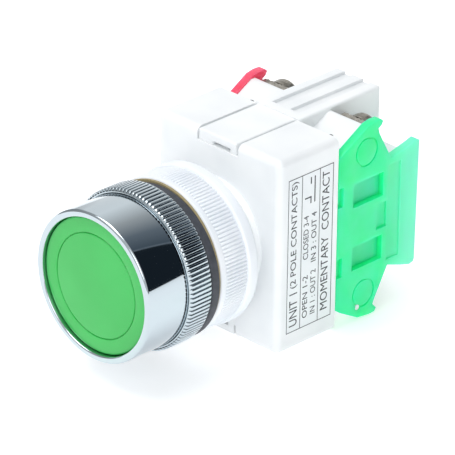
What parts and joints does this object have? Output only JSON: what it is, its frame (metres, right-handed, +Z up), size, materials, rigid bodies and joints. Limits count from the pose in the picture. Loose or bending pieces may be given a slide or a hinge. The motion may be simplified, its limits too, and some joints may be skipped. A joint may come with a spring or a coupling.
{
  "type": "industrial push button",
  "caption": "Flush momentary panel push button with a chrome head, a knurled clamp nut and a two-pole screw terminal contact block with coloured side covers.",
  "frame": {"origin": "on the button axis, in the plane where the gasket meets the front face of the panel", "axes": "-Y is the way the button's face looks, +Y goes through the panel to the contact block, +Z is up and +X is the side with the green cover and the rating label"},
  "size_m": [0.0301, 0.065, 0.0377],
  "materials": {
    "chrome_plated_brass": "polished",
    "cap_plastic": "satin",
    "black_plastic": "matte",
    "white_plastic": "satin",
    "nut_plastic": "satin",
    "gasket_rubber": "matte",
    "seal_rubber": "matte",
    "vulcanised_fibre": "matte",
    "label_film": "satin",
    "green_translucent_plastic": "satin, translucent",
    "red_translucent_plastic": "satin, translucent",
    "spring_steel": "satin",
    "zinc_plated_steel": "satin",
    "brass_strip": "satin",
    "silver_contact": "satin",
    "pin_plastic": "satin"
  },
  "bodies": {
    "base": {"base_housing": "white_plastic", "rating_label": "label_film", "contact_block_housing": "white_plastic", "cover_pins": "pin_plastic", "neck_seal": "seal_rubber", "rubber_gasket": "gasket_rubber", "no_contact_rivets": "silver_contact", "nc_contact_rivets": "silver_contact", "return_spring": "spring_steel", "no_carrier_spring": "spring_steel", "nc_carrier_spring": "spring_steel", "no_fixed_contact_upper": "brass_strip", "no_fixed_contact_lower": "brass_strip", "nc_fixed_contact_upper": "brass_strip", "nc_fixed_contact_lower": "brass_strip"},
    "head_ring": {"bezel_ring": "chrome_plated_brass", "knurled_ring": "chrome_plated_brass"},
    "button": {"push_cap": "cap_plastic", "cap_insert": "cap_plastic", "plunger": "black_plastic", "retaining_clip": "spring_steel", "actuator_bar": "black_plastic"},
    "washer": {"fibre_washer": "vulcanised_fibre"},
    "nut": {"clamp_nut": "nut_plastic"},
    "no_carrier": {"no_carrier": "black_plastic", "no_contact_spring": "spring_steel"},
    "nc_carrier": {"nc_carrier": "black_plastic", "nc_contact_spring": "spring_steel"},
    "no_bridge": {"no_bridge": "brass_strip", "no_bridge_tips": "silver_contact"},
    "nc_bridge": {"nc_bridge": "brass_strip", "nc_bridge_tips": "silver_contact"},
    "green_cover": {"green_cover": "green_translucent_plastic"},
    "red_cover": {"red_cover": "red_translucent_plastic"},
    "no_clamp_upper": {"no_terminal_clamp_upper": "zinc_plated_steel"},
    "no_screw_upper": {"no_terminal_screw_upper": "zinc_plated_steel"},
    "no_clamp_lower": {"no_terminal_clamp_lower": "zinc_plated_steel"},
    "no_screw_lower": {"no_terminal_screw_lower": "zinc_plated_steel"},
    "nc_clamp_upper": {"nc_terminal_clamp_upper": "zinc_plated_steel"},
    "nc_screw_upper": {"nc_terminal_screw_upper": "zinc_plated_steel"},
    "nc_clamp_lower": {"nc_terminal_clamp_lower": "zinc_plated_steel"},
    "nc_screw_lower": {"nc_terminal_screw_lower": "zinc_plated_steel"}
  },
  "joints": [
    {"name": "button_press", "type": "slide", "parent": "base", "child": "button", "axis": [0, 1, 0], "range_m": [0, 0.004], "stiffness_N_per_m": 900, "springref_m": -0.004, "deforming": ["return_spring"]},
    {"name": "no_carrier_slide", "type": "slide", "parent": "base", "child": "no_carrier", "axis": [0, 1, 0], "range_m": [0, 0.004], "deforming": ["no_carrier_spring"]},
    {"name": "nc_carrier_slide", "type": "slide", "parent": "base", "child": "nc_carrier", "axis": [0, 1, 0], "range_m": [0, 0.004], "deforming": ["nc_carrier_spring"]},
    {"name": "no_bridge_slide", "type": "slide", "parent": "base", "child": "no_bridge", "axis": [0, 1, 0], "range_m": [0, 0.00236], "deforming": ["no_contact_spring"]},
    {"name": "nc_bridge_slide", "type": "slide", "parent": "base", "child": "nc_bridge", "axis": [0, 1, 0], "range_m": [0, 0.004]},
    {"name": "head_ring_turn", "type": "hinge", "parent": "base", "child": "head_ring", "pos_m": [0, 0, 0], "axis": [0, 1, 0], "continuous": true},
    {"name": "washer_slide", "type": "slide", "parent": "base", "child": "washer", "axis": [0, 1, 0], "range_m": [0, 0.004]},
    {"name": "nut_turn", "type": "hinge", "parent": "washer", "child": "nut", "pos_m": [0, 0, 0], "axis": [0, 1, 0], "range_deg": [0, 960]},
    {"name": "green_cover_lift_off", "type": "slide", "parent": "base", "child": "green_cover", "axis": [1, 0, 0], "range_m": [0, 0.008]},
    {"name": "red_cover_lift_off", "type": "slide", "parent": "base", "child": "red_cover", "axis": [-1, 0, 0], "range_m": [0, 0.008]},
    {"name": "no_clamp_upper_lift", "type": "slide", "parent": "base", "child": "no_clamp_upper", "axis": [0, 1, 0], "range_m": [0, 0.0012]},
    {"name": "no_screw_upper_turn", "type": "hinge", "parent": "no_clamp_upper", "child": "no_screw_upper", "pos_m": [0.0097, 0.04, 0.0143], "axis": [0, 1, 0], "range_deg": [0, 720]},
    {"name": "no_clamp_lower_lift", "type": "slide", "parent": "base", "child": "no_clamp_lower", "axis": [0, 1, 0], "range_m": [0, 0.0012]},
    {"name": "no_screw_lower_turn", "type": "hinge", "parent": "no_clamp_lower", "child": "no_screw_lower", "pos_m": [0.0097, 0.04, -0.0143], "axis": [0, 1, 0], "range_deg": [0, 720]},
    {"name": "nc_clamp_upper_lift", "type": "slide", "parent": "base", "child": "nc_clamp_upper", "axis": [0, 1, 0], "range_m": [0, 0.0012]},
    {"name": "nc_screw_upper_turn", "type": "hinge", "parent": "nc_clamp_upper", "child": "nc_screw_upper", "pos_m": [-0.0097, 0.04, 0.0143], "axis": [0, 1, 0], "range_deg": [0, 720]},
    {"name": "nc_clamp_lower_lift", "type": "slide", "parent": "base", "child": "nc_clamp_lower", "axis": [0, 1, 0], "range_m": [0, 0.0012]},
    {"name": "nc_screw_lower_turn", "type": "hinge", "parent": "nc_clamp_lower", "child": "nc_screw_lower", "pos_m": [-0.0097, 0.04, -0.0143], "axis": [0, 1, 0], "range_deg": [0, 720]}
  ],
  "couplings": [
    {"joint": "no_carrier_slide", "follows": "button_press", "ratio": 1},
    {"joint": "nc_carrier_slide", "follows": "button_press", "ratio": 1},
    {"joint": "no_bridge_slide", "follows": "button_press", "ratio": 0.59},
    {"joint": "nc_bridge_slide", "follows": "button_press", "ratio": 1},
    {"joint": "nut_turn", "follows": "washer_slide", "rad_per_m": 4188.8},
    {"joint": "no_screw_upper_turn", "follows": "no_clamp_upper_lift", "rad_per_m": 10472},
    {"joint": "no_screw_lower_turn", "follows": "no_clamp_lower_lift", "rad_per_m": 10472},
    {"joint": "nc_screw_upper_turn", "follows": "nc_clamp_upper_lift", "rad_per_m": 10472},
    {"joint": "nc_screw_lower_turn", "follows": "nc_clamp_lower_lift", "rad_per_m": 10472}
  ]
}
